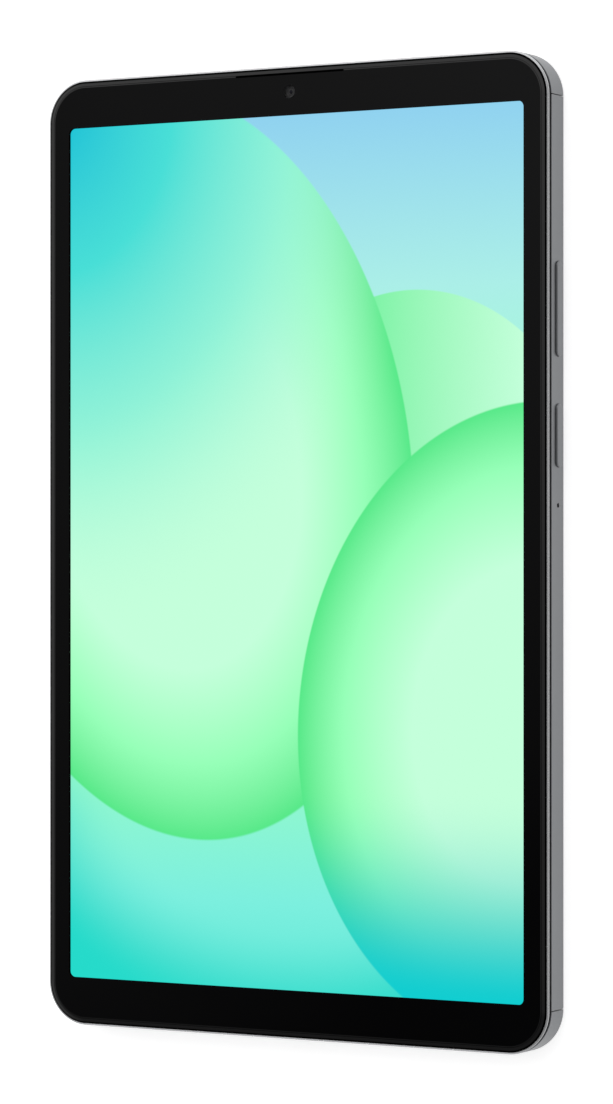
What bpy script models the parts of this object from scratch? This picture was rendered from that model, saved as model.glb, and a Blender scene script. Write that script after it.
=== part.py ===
"""Tablet computer of the 8.7 inch class, lying on its back with the screen up.

Units are metres. +Z is the screen side, +Y the top end, +X the side with the keys.
The origin is the centre of the back face, on the surface that the tablet lies on.
"""

import math

import bmesh
import bpy
from mathutils import Matrix

# Outer body
BODY_WIDTH = 0.1247
BODY_LENGTH = 0.2110
BODY_HEIGHT = 0.0080
CORNER_RADIUS = 0.0095
BACK_EDGE_RADIUS = 0.0008
HALF_WIDTH = BODY_WIDTH / 2
HALF_LENGTH = BODY_LENGTH / 2

# Rear housing: an aluminium channel between two plastic end caps
BACK_WALL = 0.0008
SIDE_WALL = 0.0012
HOUSING_TOP = 0.00622
CAP_SPLIT = 0.0961
CAP_GAP = 0.0002
INNER_WALL = HALF_WIDTH - SIDE_WALL

# Mid frame: a plate with a raised edge whose outside is the dark band under the rim
PLATE_LOW = 0.0048
PLATE_HIGH = 0.0053
BAND_LOW = 0.00627
BAND_HIGH = 0.00708
BAND_INSET = 0.0003
SKIRT_INSET = 0.00145
POCKET_INSET = 0.0022

# Front rim and cover glass
RIM_LOW = 0.00712
RIM_HIGH = 0.00775
FLANGE_HIGH = 0.00727
LIP_WIDTH = 0.00032
GLASS_LOW = 0.00737
GLASS_INSET = 0.0005
ADHESIVE_INSET = 0.0004
SLIT_LENGTH = 0.0270
SLIT_WIDTH = 0.00045
SLIT_Y = 0.1039

# Display module
MODULE_WIDTH = 0.1168
MODULE_LENGTH = 0.1942
TRAY_LOW = 0.00535
TRAY_HIGH = 0.0069
TRAY_SHEET = 0.0002
GUIDE_LOW = 0.0056
GUIDE_HIGH = 0.0061
CELL_LOW = 0.0062
CELL_HIGH = 0.0073

# Side features, all centred on one height
SIDE_Z = 0.0032
KEY_HEIGHT = 0.0023
KEY_PROUD = 0.0005
KEY_CLEARANCE = 0.0001
VOLUME_Y = 0.0512
VOLUME_LENGTH = 0.0200
POWER_Y = 0.0246
POWER_LENGTH = 0.0133
POST_OFFSET = 0.0060
FLANGE_FACE = INNER_WALL - 0.0004
FLANGE_BACK = FLANGE_FACE - 0.0005
POST_TIP = FLANGE_BACK - 0.00035
SWITCH_FACE = POST_TIP - 0.0003
MICROPHONE_Y = 0.0099
PINHOLE_RADIUS = 0.0005

# Card tray on the -X side
TRAY_FACE_Y = 0.0713
TRAY_FACE_LENGTH = 0.0204
TRAY_FACE_HEIGHT = 0.0021
CARD_Y_LOW = 0.06225
CARD_Y_HIGH = 0.07775
CARD_Z_LOW = 0.00265
CARD_Z_HIGH = 0.00405
CARD_END_X = -0.0380
ROD_Y = 0.0798
ROD_START_X = -0.0599
ROD_END_X = -0.0370
LEVER_X = -0.03558
LEVER_Y = 0.0758
LEVER_REACH = 0.0046
LEVER_ANGLE = math.radians(10.75)

# Boards and battery
BOARD_LOW = 0.0013
BOARD_HIGH = 0.0021
PART_LOW = 0.00215
USB_BOARD_HIGH = 0.00185
BATTERY_LOW = 0.00098
BATTERY_HIGH = 0.0043
FLEX_LOW = 0.00445
FLEX_SHEET = 0.00012
SCREW_PLACES = {
    "board_screw_1": (-0.0540, 0.0585),
    "board_screw_2": (-0.0500, 0.0872),
    "board_screw_3": (0.0395, 0.0872),
    "board_screw_4": (0.0395, 0.0585),
    "board_screw_5": (-0.0110, -0.0765),
    "board_screw_6": (0.0110, -0.0765),
}

# Ports, sound and cameras
USB_Z = 0.00352
USB_WIDTH = 0.00894
USB_HEIGHT = 0.00320
USB_DEPTH = 0.0073
JACK_X = -0.0400
JACK_Z = 0.002975
JACK_RADIUS = 0.00175
SPEAKER_X = 0.0310
END_MICROPHONE_X = -0.0180
REAR_CAMERA = (0.0500, 0.0880)
FRONT_CAMERA_Y = 0.0999

# Colours (linear) with roughness and metallic value
ALUMINIUM = ((0.34, 0.355, 0.38), 0.38, 0.9)
CAP_GREY = ((0.33, 0.345, 0.37), 0.45, 0.2)
RIM_GREY = ((0.42, 0.43, 0.45), 0.35, 0.3)
BLACK_PLASTIC = ((0.018, 0.018, 0.02), 0.5, 0.0)
BLACK_GLASS = ((0.006, 0.006, 0.007), 0.08, 0.0)
SCREEN = ((0.25, 0.75, 0.72), 0.15, 0.0)
STEEL = ((0.55, 0.55, 0.55), 0.35, 1.0)
BOARD_GREEN = ((0.012, 0.07, 0.035), 0.5, 0.0)
AMBER_FILM = ((0.35, 0.15, 0.03), 0.45, 0.0)
WHITE_FILM = ((0.8, 0.8, 0.8), 0.4, 0.0)
POUCH = ((0.05, 0.05, 0.055), 0.45, 0.1)


def new_collection(name):
    group = bpy.data.collections.new(name)
    bpy.context.scene.collection.children.link(group)
    return group


def clear_scene():
    for obj in list(bpy.data.objects):
        bpy.data.objects.remove(obj)


clear_scene()
PARTS = new_collection("tablet_computer")
CUTTERS = new_collection("cutters")


def finish(name, mesh, look):
    """One named part with its own material; look None makes it a hidden cutter."""
    obj = bpy.data.objects.new(name, mesh)
    if look is None:
        CUTTERS.objects.link(obj)
        obj.hide_render = True
        obj.display_type = "WIRE"
        return obj
    PARTS.objects.link(obj)
    colour, roughness, metallic = look
    material = bpy.data.materials.new(name)
    material.use_nodes = True
    shader = material.node_tree.nodes["Principled BSDF"]
    shader.inputs["Base Color"].default_value = (*colour, 1.0)
    shader.inputs["Roughness"].default_value = roughness
    shader.inputs["Metallic"].default_value = metallic
    mesh.materials.clear()
    mesh.materials.append(material)
    return obj


def boolean(target, other, operation):
    modifier = target.modifiers.new(f"{operation} {other.name}", "BOOLEAN")
    modifier.operation = operation
    modifier.object = other
    modifier.solver = "EXACT"


def cut(target, *cutters):
    for cutter in cutters:
        boolean(target, cutter, "DIFFERENCE")


def join(target, *others):
    for other in others:
        boolean(target, other, "UNION")


def box(name, low, high, look=None):
    mesh = bpy.data.meshes.new(name)
    shape = bmesh.new()
    size = [b - a for a, b in zip(low, high)]
    middle = [(a + b) / 2 for a, b in zip(low, high)]
    place = Matrix.Translation(middle) @ Matrix.Diagonal((*size, 1.0))
    bmesh.ops.create_cube(shape, size=1.0, matrix=place)
    shape.to_mesh(mesh)
    shape.free()
    return finish(name, mesh, look)


# Turns a shape made along Z so that it runs along another axis.
TURNS = {
    "Z": Matrix.Identity(4),
    "X": Matrix(((0, 0, 1, 0), (1, 0, 0, 0), (0, 1, 0, 0), (0, 0, 0, 1))),
    "Y": Matrix(((1, 0, 0, 0), (0, 0, -1, 0), (0, 1, 0, 0), (0, 0, 0, 1))),
}


def cylinder(name, centre, radius, low, high, axis="Z", look=None, sides=24):
    """A cylinder along an axis; centre is the pair of the other two coordinates."""
    mesh = bpy.data.meshes.new(name)
    shape = bmesh.new()
    along = -(low + high) / 2 if axis == "Y" else (low + high) / 2
    place = TURNS[axis] @ Matrix.Translation((*centre, along))
    bmesh.ops.create_cone(
        shape, cap_ends=True, segments=sides, radius1=radius, radius2=radius,
        depth=high - low, matrix=place,
    )
    shape.to_mesh(mesh)
    shape.free()
    mesh.shade_smooth()
    mesh.set_sharp_from_angle(angle=math.radians(35))
    return finish(name, mesh, look)


def rounded_rectangle(width, length, radius, centre=(0.0, 0.0), steps=8):
    """Outline of a rectangle with round corners, counter-clockwise."""
    points = []
    for corner in range(4):
        side_x = 1 if corner in (0, 3) else -1
        side_y = 1 if corner in (0, 1) else -1
        for step in range(steps + 1):
            angle = math.pi / 2 * (corner + step / steps)
            x = centre[0] + side_x * (width / 2 - radius) + radius * math.cos(angle)
            y = centre[1] + side_y * (length / 2 - radius) + radius * math.sin(angle)
            points.append((x, y))
    return points


def body_outline(inset):
    """The body's outline, moved inwards."""
    radius = CORNER_RADIUS - inset
    return rounded_rectangle(BODY_WIDTH - 2 * inset, BODY_LENGTH - 2 * inset, radius)


def slab(name, outline, low, high, axis="Z", look=None, edge=0.0, rounds=2):
    """A filled outline given thickness along an axis, with edges rounded by edge."""
    curve = bpy.data.curves.new(name, "CURVE")
    curve.dimensions = "2D"
    curve.fill_mode = "BOTH"
    curve.extrude = (high - low) / 2 - edge
    if edge:
        curve.bevel_depth = edge
        curve.bevel_resolution = rounds
        curve.offset = -edge
    spline = curve.splines.new("POLY")
    spline.points.add(len(outline) - 1)
    for point, (x, y) in zip(spline.points, outline):
        point.co = (x, y, 0.0, 1.0)
    spline.use_cyclic_u = True
    source = bpy.data.objects.new(name, curve)
    bpy.context.scene.collection.objects.link(source)
    bpy.context.view_layer.update()
    mesh = bpy.data.meshes.new_from_object(source)
    bpy.data.objects.remove(source)
    shape = bmesh.new()
    shape.from_mesh(mesh)
    bmesh.ops.remove_doubles(shape, verts=shape.verts, dist=1e-6)
    along = -(low + high) / 2 if axis == "Y" else (low + high) / 2
    place = TURNS[axis] @ Matrix.Translation((0, 0, along))
    bmesh.ops.transform(shape, matrix=place, verts=shape.verts)
    bmesh.ops.recalc_face_normals(shape, faces=shape.faces)
    shape.to_mesh(mesh)
    shape.free()
    mesh.name = name
    mesh.shade_smooth()
    mesh.set_sharp_from_angle(angle=math.radians(35))
    return finish(name, mesh, look)


def turned(name, profile, centre, look=None, steps=32):
    """A profile of (radius, height) points, top to bottom on the outside, turned about Z."""
    mesh = bpy.data.meshes.new(name)
    count = len(profile)
    edges = [(index, (index + 1) % count) for index in range(count)]
    if profile[0][0] == 0 and profile[-1][0] == 0:
        edges.pop()
    mesh.from_pydata([(radius, 0.0, height) for radius, height in profile], edges, [])
    obj = finish(name, mesh, look)
    obj.location = (*centre, 0.0)
    screw = obj.modifiers.new("turn", "SCREW")
    screw.steps = steps
    screw.render_steps = steps
    screw.use_merge_vertices = True
    screw.merge_threshold = 1e-6
    screw.use_smooth_shade = False
    return obj


def place_origin(obj, point):
    """Moves the origin to a point without moving the shape."""
    offset = Matrix.Translation([-value for value in point])
    obj.data.transform(offset)
    obj.location = point


def key_slot(name, y, length, height, x_low, x_high):
    outline = rounded_rectangle(length, height, height / 2 - 1e-6, (y, SIDE_Z))
    return slab(name, outline, x_low, x_high, "X")


def speaker_slots(name, end):
    """Six upright slots through the end wall, in front of a loudspeaker."""
    slots = []
    for index in range(6):
        x = SPEAKER_X + (index - 2.5) * 0.0022
        outline = rounded_rectangle(0.0011, 0.0022, 0.0005, (x, SIDE_Z), steps=3)
        low, high = sorted((end * (HALF_LENGTH - 0.0020), end * (HALF_LENGTH + 0.0010)))
        slots.append(slab(f"{name}_{index}", outline, low, high, "Y"))
    return slots


def housing_piece(name, y_low, y_high, look):
    """A length of the rear housing: a rounded tray with its inside removed."""
    high = HOUSING_TOP + 0.002
    piece = slab(
        name, body_outline(0.0), 0.0, high, look=look, edge=BACK_EDGE_RADIUS, rounds=3
    )
    span = box(
        f"{name}_span", (-HALF_WIDTH - 0.001, y_low, -0.001),
        (HALF_WIDTH + 0.001, y_high, HOUSING_TOP),
    )
    boolean(piece, span, "INTERSECT")
    inside = slab(f"{name}_inside", body_outline(SIDE_WALL), BACK_WALL, high + 0.001)
    cut(piece, inside)
    return piece


def rear_shell():
    """Aluminium channel: back and both long sides, with the key, tray and camera holes."""
    edge = CAP_SPLIT - CAP_GAP / 2
    shell = housing_piece("rear_shell", -edge, edge, ALUMINIUM)
    inner = INNER_WALL - 0.0008
    outer = HALF_WIDTH + 0.001
    gap = 2 * KEY_CLEARANCE
    height = KEY_HEIGHT + gap
    cut(
        shell,
        key_slot("volume_slot", VOLUME_Y, VOLUME_LENGTH + gap, height, inner, outer),
        key_slot("power_slot", POWER_Y, POWER_LENGTH + gap, height, inner, outer),
        key_slot(
            "tray_slot", TRAY_FACE_Y, TRAY_FACE_LENGTH + gap, TRAY_FACE_HEIGHT + gap,
            -outer, -inner,
        ),
        cylinder("pinhole", (MICROPHONE_Y, SIDE_Z), PINHOLE_RADIUS, inner, outer, "X"),
        cylinder("camera_hole", REAR_CAMERA, 0.0045, -0.001, 0.002, sides=40),
    )


def antenna_caps():
    """Plastic end caps, which let radio through, with the holes of the ports and speakers."""
    edge = CAP_SPLIT + CAP_GAP / 2
    end = HALF_LENGTH + 0.001
    inner = HALF_LENGTH - 0.0020
    top = housing_piece("antenna_cap_top", edge, end, CAP_GREY)
    cut(
        top,
        cylinder("jack_hole", (JACK_X, JACK_Z), JACK_RADIUS + 0.0001, inner, end, "Y"),
        cylinder("top_mic_hole", (END_MICROPHONE_X, SIDE_Z), 0.0005, inner, end, "Y"),
        *speaker_slots("top_slot", 1),
    )
    bottom = housing_piece("antenna_cap_bottom", -end, -edge, CAP_GREY)
    mouth = rounded_rectangle(
        USB_WIDTH + 0.0003, USB_HEIGHT + 0.0003, USB_HEIGHT / 2 + 0.0001, (0.0, USB_Z)
    )
    cut(
        bottom,
        slab("usb_mouth", mouth, -end, -inner, "Y"),
        cylinder("low_mic_hole", (END_MICROPHONE_X, SIDE_Z), 0.0005, -end, -inner, "Y"),
        *speaker_slots("bottom_slot", -1),
    )


def mid_frame():
    """Plate that carries the display on one side and the boards on the other."""
    frame = slab(
        "mid_frame", body_outline(SKIRT_INSET), PLATE_LOW, BAND_HIGH, look=BLACK_PLASTIC
    )
    join(frame, slab("band", body_outline(BAND_INSET), BAND_LOW, BAND_HIGH))
    cut(frame, slab("pocket", body_outline(POCKET_INSET), PLATE_HIGH, BODY_HEIGHT))
    for index, (x, y) in enumerate(SCREW_PLACES.values()):
        join(frame, cylinder(f"boss_{index}", (x, y), 0.0017, 0.00225, 0.0050))
    for index, (x, y) in enumerate(SCREW_PLACES.values()):
        cut(frame, cylinder(f"bore_{index}", (x, y), 0.0008, 0.0015, 0.0039, sides=16))
    through = (PLATE_LOW - 0.0005, PLATE_HIGH + 0.0005)
    cutouts = {
        "jack_window": ((-0.0436, 0.0909), (-0.0364, 0.1046)),
        "usb_window": ((-0.0052, -0.1046), (0.0052, -0.0977)),
        "camera_window": ((-0.0038, 0.0976), (0.0038, 0.1028)),
        "flex_window": ((-0.0285, -0.0984), (-0.0155, -0.0973)),
    }
    for name, ((x0, y0), (x1, y1)) in cutouts.items():
        cut(frame, box(name, (x0, y0, through[0]), (x1, y1, through[1])))


def front_rim():
    """Thin frame round the glass: an upright lip on an inward flange."""
    rim = slab("front_rim", body_outline(0.0), RIM_LOW, RIM_HIGH, look=RIM_GREY)
    cut(
        rim,
        slab("rim_bed", body_outline(LIP_WIDTH), FLANGE_HIGH, BODY_HEIGHT),
        slab("rim_opening", body_outline(POCKET_INSET), RIM_LOW - 0.001, RIM_HIGH),
        box(
            "sound_channel", (-0.0130, SLIT_Y - 0.0003, RIM_LOW - 0.0005),
            (0.0130, SLIT_Y + 0.0003, RIM_HIGH),
        ),
    )


def cover_glass():
    """Glass over the whole front, with the sound slit near its top edge."""
    glass = slab(
        "cover_glass", body_outline(GLASS_INSET), GLASS_LOW, BODY_HEIGHT,
        look=BLACK_GLASS, edge=0.00022, rounds=2,
    )
    outline = rounded_rectangle(
        SLIT_LENGTH, SLIT_WIDTH, SLIT_WIDTH / 2 - 1e-6, (0.0, SLIT_Y), steps=4
    )
    cut(glass, slab("slit", outline, GLASS_LOW - 0.001, BODY_HEIGHT + 0.001))

    adhesive = slab(
        "glass_adhesive", body_outline(ADHESIVE_INSET), 0.00729, 0.00735,
        look=BLACK_PLASTIC,
    )
    cut(
        adhesive,
        slab("adhesive_opening", body_outline(POCKET_INSET), 0.0070, BODY_HEIGHT),
        box("mesh_gap", (-0.0142, 0.1030, 0.0070), (0.0142, 0.10445, BODY_HEIGHT)),
    )
    box("receiver_mesh", (-0.0138, 0.1034, 0.00729), (0.0138, 0.1043, 0.00734), STEEL)


def centred(width, length, radius=0.0006):
    return rounded_rectangle(width, length, radius, steps=3)


def display_module():
    """Screen: liquid crystal cell, light guide with its lamps, and the steel tray."""
    slab(
        "display_cell", centred(MODULE_WIDTH - 0.0008, MODULE_LENGTH - 0.0008),
        CELL_LOW, CELL_HIGH, look=SCREEN,
    )
    guide_low = -MODULE_LENGTH / 2 + 0.0018
    guide_high = MODULE_LENGTH / 2 - 0.0005
    half_guide = MODULE_WIDTH / 2 - 0.0006
    box(
        "light_guide", (-half_guide, guide_low, GUIDE_LOW),
        (half_guide, guide_high, GUIDE_HIGH), WHITE_FILM,
    )
    box(
        "led_strip", (-half_guide + 0.002, -MODULE_LENGTH / 2 + 0.0004, GUIDE_LOW),
        (half_guide - 0.002, guide_low - 0.0002, GUIDE_HIGH), WHITE_FILM,
    )
    tray = slab(
        "backlight_tray", centred(MODULE_WIDTH, MODULE_LENGTH), TRAY_LOW, TRAY_HIGH,
        look=STEEL,
    )
    inside = centred(MODULE_WIDTH - 2 * TRAY_SHEET, MODULE_LENGTH - 2 * TRAY_SHEET)
    cut(tray, slab("tray_inside", inside, TRAY_LOW + TRAY_SHEET, BODY_HEIGHT))


def flex_strip(name, x_low, x_high, y_low, y_high, low_at_start, low_at_end):
    """Flat ribbon above the battery whose two ends turn down to their boards."""
    top = FLEX_LOW + FLEX_SHEET
    strip = box(name, (x_low, y_low, FLEX_LOW), (x_high, y_high, top), AMBER_FILM)
    starts = (x_low, y_low, low_at_start)
    join(strip, box(f"{name}_start", starts, (x_high, y_low + FLEX_SHEET, top)))
    ends = (x_low, y_high - FLEX_SHEET, low_at_end)
    join(strip, box(f"{name}_end", ends, (x_high, y_high, top)))
    return strip


def flexes():
    """Ribbons from the display and the port board to the main board."""
    display = flex_strip(
        "display_flex", -0.0280, -0.0160, -0.0979, 0.0592, FLEX_LOW, 0.0034
    )
    end = MODULE_LENGTH / 2
    join(
        display,
        box("flex_rise", (-0.0280, -0.0979, FLEX_LOW), (-0.0160, -0.0978, 0.00708)),
        box("flex_tab", (-0.0280, -0.0979, 0.00698), (-0.0160, -end + 0.0002, 0.00708)),
    )
    flex_strip("interconnect_flex", 0.0050, 0.0130, -0.0740, 0.0592, 0.0020, 0.0034)


def battery():
    """Lithium pouch with its protection board, ribbon and two pull-out tapes."""
    outline = rounded_rectangle(0.1000, 0.1060, 0.0015, (0.0, -0.0070), steps=3)
    slab("battery_cell", outline, BATTERY_LOW, BATTERY_HIGH, look=POUCH, edge=0.0008)
    box(
        "battery_circuit_board", (-0.0140, 0.0463, 0.0016), (0.0140, 0.0503, 0.0034),
        BOARD_GREEN,
    )
    box("battery_flex", (-0.0035, 0.0505, 0.0023), (0.0035, 0.0600, 0.00242), AMBER_FILM)
    for name, side in (("battery_tape_left", -1), ("battery_tape_right", 1)):
        x_low, x_high = sorted((side * 0.0240, side * 0.0400))
        box(name, (x_low, -0.0550, 0.00084), (x_high, 0.0400, 0.00094), WHITE_FILM)


def chip(name, x, y, width, length, low, high, look=BLACK_PLASTIC):
    return box(
        name, (x - width / 2, y - length / 2, low), (x + width / 2, y + length / 2, high),
        look,
    )


def shield_can(name, x, y, width, length, low, high):
    """Tin cover over a group of chips, open towards the board."""
    can = chip(name, x, y, width, length, low, high, STEEL)
    wall = 0.0003
    hollow = chip(
        f"{name}_hollow", x, y, width - wall, length - wall, low - 0.001, high - 0.0002,
        None,
    )
    cut(can, hollow)


def main_board():
    """Main circuit board above the battery, with its chips, cans and connectors."""
    board = box(
        "main_board", (-0.0570, 0.0560, BOARD_LOW), (0.0430, 0.0905, BOARD_HIGH),
        BOARD_GREEN,
    )
    for index in range(4):
        x, y = SCREW_PLACES[f"board_screw_{index + 1}"]
        hole = (0.00095, BOARD_LOW - 0.001, BOARD_HIGH + 0.001)
        cut(board, cylinder(f"board_hole_{index}", (x, y), *hole, sides=16))
    chip("processor", 0.0060, 0.0790, 0.0135, 0.0135, PART_LOW, 0.0033)
    chip("memory_chip", 0.0060, 0.0685, 0.0115, 0.0055, PART_LOW, 0.0031)
    shield_can("processor_shield", 0.0060, 0.0765, 0.0200, 0.0235, PART_LOW, 0.0042)
    shield_can("power_shield", 0.0290, 0.0760, 0.0160, 0.0180, PART_LOW, 0.0040)
    chip("display_connector", -0.0220, 0.0592, 0.0120, 0.0024, PART_LOW, 0.0033)
    chip("battery_connector", 0.0000, 0.0614, 0.0080, 0.0024, PART_LOW, 0.0030)
    chip("interconnect_connector", 0.0090, 0.0592, 0.0080, 0.0024, PART_LOW, 0.0033)


def usb_port():
    """Port board at the bottom end with the reversible power and data socket."""
    board = box(
        "usb_board", (-0.0140, -0.1035, BOARD_LOW), (0.0140, -0.0735, USB_BOARD_HIGH),
        BOARD_GREEN,
    )
    for index in (5, 6):
        x, y = SCREW_PLACES[f"board_screw_{index}"]
        hole = (0.00095, BOARD_LOW - 0.001, BOARD_HIGH + 0.001)
        cut(board, cylinder(f"usb_board_hole_{index}", (x, y), *hole, sides=16))
    mouth = -HALF_LENGTH + 0.0003
    inner = mouth + USB_DEPTH
    outline = rounded_rectangle(
        USB_WIDTH, USB_HEIGHT, USB_HEIGHT / 2 - 0.0001, (0.0, USB_Z)
    )
    shell = slab("usb_shell", outline, mouth, inner, "Y", look=STEEL)
    wall = 0.0003
    cavity = rounded_rectangle(
        USB_WIDTH - 2 * wall, USB_HEIGHT - 2 * wall, USB_HEIGHT / 2 - wall - 0.0001,
        (0.0, USB_Z),
    )
    cut(shell, slab("usb_cavity", cavity, mouth - 0.001, inner - 0.0004, "Y"))
    box(
        "usb_tongue", (-0.00334, mouth + 0.0012, USB_Z - 0.00035),
        (0.00334, inner - 0.0006, USB_Z + 0.00035), BLACK_PLASTIC,
    )


def headphone_jack():
    """Socket block with its round bore open to the top end."""
    mouth = HALF_LENGTH - 0.0003
    inner = mouth - 0.0140
    jack = box(
        "headphone_jack", (JACK_X - 0.0032, inner, 0.00087),
        (JACK_X + 0.0032, HALF_LENGTH - 0.0014, 0.00508), BLACK_PLASTIC,
    )
    barrel = (JACK_X, JACK_Z)
    cut(jack, cylinder("jack_bore", barrel, JACK_RADIUS, inner + 0.001, mouth + 0.001, "Y"))


def loudspeakers():
    """Closed loudspeaker boxes with a mesh behind each row of slots."""
    for name, end in (("speaker_top", 1), ("speaker_bottom", -1)):
        y_low, y_high = sorted((end * 0.0930, end * 0.1035))
        box(
            name, (SPEAKER_X - 0.0110, y_low, 0.00095), (SPEAKER_X + 0.0110, y_high, 0.0046),
            BLACK_PLASTIC,
        )
        y_low, y_high = sorted((end * 0.1037, end * 0.1041))
        box(
            f"{name}_mesh", (SPEAKER_X - 0.0075, y_low, 0.0018),
            (SPEAKER_X + 0.0075, y_high, 0.0046), STEEL,
        )
    chip("receiver", -0.0130, 0.1003, 0.0120, 0.0056, 0.0054, 0.0069)


def rear_camera():
    """Camera behind a window that is level with the back."""
    x, y = REAR_CAMERA
    turned(
        "rear_camera_ring",
        [
            (0.0052, 0.0011), (0.0052, 0.00085), (0.0044, 0.00085), (0.0044, 0.0),
            (0.0037, 0.0), (0.0037, 0.0011),
        ],
        REAR_CAMERA, STEEL,
    )
    cylinder(
        "rear_camera_window", REAR_CAMERA, 0.0036, 0.0001, 0.0007, look=BLACK_GLASS,
        sides=32,
    )
    housing = chip("rear_camera_housing", x, y, 0.0096, 0.0096, 0.0013, 0.0046)
    cut(housing, cylinder("camera_bore", REAR_CAMERA, 0.0033, 0.0010, 0.0039, sides=32))
    lens = turned(
        "rear_camera_lens",
        [
            (0.0, 0.0035), (0.0030, 0.0035), (0.0030, 0.0017), (0.0018, 0.0017),
            (0.0013, 0.0021), (0.0, 0.0022),
        ],
        REAR_CAMERA, BLACK_PLASTIC,
    )
    lens.data.transform(Matrix.Translation((0, 0, -0.0026)))
    lens.location.z = 0.0026


def front_camera():
    """Camera under the top border, looking out through the glass."""
    centre = (0.0, FRONT_CAMERA_Y)
    housing = chip(
        "front_camera_housing", 0.0, FRONT_CAMERA_Y + 0.0001, 0.0064, 0.0048, 0.0040, 0.0072
    )
    cut(housing, cylinder("front_bore", centre, 0.0016, 0.0058, 0.0080))
    turned(
        "front_camera_lens",
        [
            (0.0, 0.0070), (0.0006, 0.0069), (0.0009, 0.0072), (0.0014, 0.0072),
            (0.0014, 0.0060), (0.0, 0.0060),
        ],
        centre, BLACK_GLASS, steps=24,
    )


def key(name, y, length, posts):
    """Key cap through the side wall, with an inner flange and posts for its switches."""
    cap_outline = rounded_rectangle(
        length, KEY_HEIGHT, KEY_HEIGHT / 2 - 1e-5, (y, SIDE_Z), steps=6
    )
    cap = slab(
        name, cap_outline, FLANGE_BACK + 0.0001, HALF_WIDTH + KEY_PROUD, "X",
        look=ALUMINIUM, edge=0.00025,
    )
    join(
        cap,
        box(
            f"{name}_flange", (FLANGE_BACK, y - length / 2 - 0.0006, SIDE_Z - 0.0015),
            (FLANGE_FACE, y + length / 2 + 0.0006, SIDE_Z + 0.0015),
        ),
    )
    for index, offset in enumerate(posts):
        post = cylinder(
            f"{name}_post_{index}", (y + offset, SIDE_Z), 0.0006, POST_TIP,
            FLANGE_BACK + 0.0002, "X", sides=12,
        )
        join(cap, post)
    return cap


def keys():
    """Volume rocker, power key, their switches on one ribbon, and the side microphone."""
    middle = (FLANGE_FACE + FLANGE_BACK) / 2
    volume = key("volume_key", VOLUME_Y, VOLUME_LENGTH, (-POST_OFFSET, POST_OFFSET))
    bake_origin(volume, (middle, VOLUME_Y, SIDE_Z))
    power = key("power_key", POWER_Y, POWER_LENGTH, (0.0,))
    bake_origin(power, (middle, POWER_Y, SIDE_Z))
    switches = {
        "volume_up_switch": VOLUME_Y + POST_OFFSET,
        "volume_down_switch": VOLUME_Y - POST_OFFSET,
        "power_switch": POWER_Y,
    }
    for name, y in switches.items():
        box(
            name, (SWITCH_FACE - 0.00045, y - 0.0014, SIDE_Z - 0.0010),
            (SWITCH_FACE, y + 0.0014, SIDE_Z + 0.0010), STEEL,
        )
    flex_x = SWITCH_FACE - 0.0005
    flex = box(
        "key_flex", (flex_x - 0.00015, 0.0080, 0.0019), (flex_x, 0.0660, 0.0044), AMBER_FILM
    )
    tail = box(
        "key_flex_tail", (0.0405, 0.0640, 0.0023), (flex_x - 0.00005, 0.0660, 0.00245)
    )
    join(flex, tail)
    box(
        "side_microphone", (flex_x + 0.0001, MICROPHONE_Y - 0.0017, SIDE_Z - 0.0010),
        (INNER_WALL - 0.0001, MICROPHONE_Y + 0.0017, SIDE_Z + 0.0010), STEEL,
    )


def bake_origin(obj, point):
    """Puts the joined shape in the mesh, with its origin on the joint's axis."""
    bpy.context.view_layer.update()
    graph = bpy.context.evaluated_depsgraph_get()
    mesh = bpy.data.meshes.new_from_object(obj.evaluated_get(graph))
    obj.modifiers.clear()
    obj.data = mesh
    place_origin(obj, point)


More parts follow.
